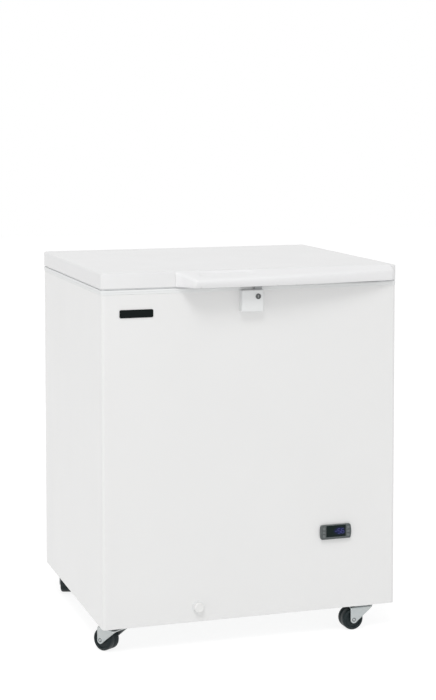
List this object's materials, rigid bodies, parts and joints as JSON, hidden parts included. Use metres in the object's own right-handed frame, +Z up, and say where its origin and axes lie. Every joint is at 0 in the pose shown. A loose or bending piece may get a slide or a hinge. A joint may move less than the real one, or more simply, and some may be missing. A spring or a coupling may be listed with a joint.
{
  "type": "medical freezer",
  "caption": "Small top-opening laboratory chest freezer on four swivel castors, with a tapered lid handle, key lock, front controller, drain plug and a stepped well",
  "frame": {"origin": "middle of the overall box in plan, on the floor under the castors", "axes": "+Z is up, -Y is the front with the controller and the lock, +X is to the right seen from the front"},
  "size_m": [0.724, 0.695, 0.875],
  "materials": {
    "white_sheet": "smooth gloss enamel",
    "lid_white": "smooth gloss",
    "handle_white": "smooth satin gloss",
    "white_moulding": "smooth satin",
    "zinc_sheet": "zinc plated",
    "zinc_fork": "bright zinc plated",
    "bright_steel": "polished",
    "chrome": "polished",
    "hinge_steel": "gloss enamel",
    "liner": "smooth satin",
    "foam": "cut foam",
    "aluminium_tube": "drawn tube",
    "fin_stock": "mill finish",
    "black_plastic": "fine texture",
    "pale_plastic": "smooth",
    "black_plate": "gloss",
    "grey_bezel": "fine texture",
    "key_rubber": "matt",
    "smoked_window": "smoked, polished",
    "gasket_rubber": "soft matt",
    "black_rubber": "matt",
    "black_tyre": "satin moulded",
    "black_enamel": "gloss enamel",
    "motor_can": "satin",
    "copper": "drawn tube"
  },
  "bodies": {
    "cabinet": {"outer_wrap": "white_sheet", "back_panel": "white_sheet", "base_tray": "zinc_sheet", "top_rim": "white_moulding", "inner_liner": "liner", "insulation_foam": "foam", "evaporator_coil": "aluminium_tube", "compartment_bulkhead": "zinc_sheet", "rear_cover": "white_sheet", "cover_screws": "bright_steel", "side_grille": "white_moulding", "power_inlet": "black_plastic", "drain_tube": "pale_plastic", "drain_bushing": "white_moulding", "nameplate": "black_plate", "lock_housing": "white_moulding", "controller_bezel": "grey_bezel", "controller_body": "black_plastic", "display_window": "smoked_window", "hinge_bases": "hinge_steel", "hinge_pins": "bright_steel", "castor_plates": "zinc_sheet", "compressor": "black_enamel", "compressor_feet": "black_rubber", "compressor_bars": "zinc_sheet", "terminal_box": "black_plastic", "condenser": "fin_stock", "fan_shroud": "black_plastic", "fan_motor": "motor_can", "refrigerant_pipes": "copper"},
    "lid": {"lid_pan": "lid_white", "lid_inner_panel": "liner", "lid_foam": "foam", "lid_gasket": "gasket_rubber", "lid_handle": "handle_white", "lock_hasp": "zinc_sheet", "hinge_arms": "hinge_steel"},
    "lock_barrel": {"lock_barrel": "chrome", "lock_cam": "zinc_sheet"},
    "drain_plug": {"drain_plug": "pale_plastic"},
    "fan": {"fan_blades": "black_plastic"},
    "key_1": {"controller_key_1": "key_rubber"},
    "key_2": {"controller_key_2": "key_rubber"},
    "key_3": {"controller_key_3": "key_rubber"},
    "key_4": {"controller_key_4": "key_rubber"},
    "key_5": {"controller_key_5": "key_rubber"},
    "key_6": {"controller_key_6": "key_rubber"},
    "fork_fl": {"castor_fork_fl": "zinc_fork", "castor_axle_fl": "bright_steel"},
    "wheel_fl": {"castor_wheel_fl": "black_tyre"},
    "fork_fr": {"castor_fork_fr": "zinc_fork", "castor_axle_fr": "bright_steel"},
    "wheel_fr": {"castor_wheel_fr": "black_tyre"},
    "fork_rl": {"castor_fork_rl": "zinc_fork", "castor_axle_rl": "bright_steel"},
    "wheel_rl": {"castor_wheel_rl": "black_tyre"},
    "fork_rr": {"castor_fork_rr": "zinc_fork", "castor_axle_rr": "bright_steel"},
    "wheel_rr": {"castor_wheel_rr": "black_tyre"}
  },
  "joints": [
    {"name": "lid_hinge", "type": "hinge", "parent": "cabinet", "child": "lid", "pos_m": [0, 0.3355, 0.831], "axis": [-1, 0, 0], "range_deg": [0, 80]},
    {"name": "lock_turn", "type": "hinge", "parent": "cabinet", "child": "lock_barrel", "pos_m": [0.0075, -0.305, 0.813], "axis": [0, 1, 0], "range_deg": [0, 90]},
    {"name": "drain_plug_pull", "type": "slide", "parent": "cabinet", "child": "drain_plug", "axis": [0, -1, 0], "range_m": [0, 0.04]},
    {"name": "fan_spin", "type": "hinge", "parent": "cabinet", "child": "fan", "pos_m": [0.2503, 0.2288, 0.1685], "axis": [0, 1, 0], "continuous": true},
    {"name": "key_1_press", "type": "slide", "parent": "cabinet", "child": "key_1", "axis": [0, 1, 0], "range_m": [0, 0.0006], "stiffness_N_per_m": 800},
    {"name": "key_2_press", "type": "slide", "parent": "cabinet", "child": "key_2", "axis": [0, 1, 0], "range_m": [0, 0.0006], "stiffness_N_per_m": 800},
    {"name": "key_3_press", "type": "slide", "parent": "cabinet", "child": "key_3", "axis": [0, 1, 0], "range_m": [0, 0.0006], "stiffness_N_per_m": 800},
    {"name": "key_4_press", "type": "slide", "parent": "cabinet", "child": "key_4", "axis": [0, 1, 0], "range_m": [0, 0.0006], "stiffness_N_per_m": 800},
    {"name": "key_5_press", "type": "slide", "parent": "cabinet", "child": "key_5", "axis": [0, 1, 0], "range_m": [0, 0.0006], "stiffness_N_per_m": 800},
    {"name": "key_6_press", "type": "slide", "parent": "cabinet", "child": "key_6", "axis": [0, 1, 0], "range_m": [0, 0.0006], "stiffness_N_per_m": 800},
    {"name": "castor_fl_swivel", "type": "hinge", "parent": "cabinet", "child": "fork_fl", "pos_m": [-0.3245, -0.2645, 0.055], "axis": [0, 0, 1], "continuous": true},
    {"name": "castor_fl_roll", "type": "hinge", "parent": "fork_fl", "child": "wheel_fl", "pos_m": [-0.33722, -0.24415, 0.026], "axis": [0.848, 0.5299, 0], "continuous": true},
    {"name": "castor_fr_swivel", "type": "hinge", "parent": "cabinet", "child": "fork_fr", "pos_m": [0.282, -0.2695, 0.055], "axis": [0, 0, 1], "continuous": true},
    {"name": "castor_fr_roll", "type": "hinge", "parent": "fork_fr", "child": "wheel_fr", "pos_m": [0.25801, -0.27034, 0.026], "axis": [-0.0349, 0.9994, 0], "continuous": true},
    {"name": "castor_rl_swivel", "type": "hinge", "parent": "cabinet", "child": "fork_rl", "pos_m": [-0.312, 0.2585, 0.055], "axis": [0, 0, 1], "continuous": true},
    {"name": "castor_rl_roll", "type": "hinge", "parent": "fork_rl", "child": "wheel_rl", "pos_m": [-0.31926, 0.23562, 0.026], "axis": [-0.9532, 0.3024, 0], "continuous": true},
    {"name": "castor_rr_swivel", "type": "hinge", "parent": "cabinet", "child": "fork_rr", "pos_m": [0.282, 0.2585, 0.055], "axis": [0, 0, 1], "continuous": true},
    {"name": "castor_rr_roll", "type": "hinge", "parent": "fork_rr", "child": "wheel_rr", "pos_m": [0.26081, 0.24723, 0.026], "axis": [-0.4695, 0.8829, 0], "continuous": true}
  ]
}
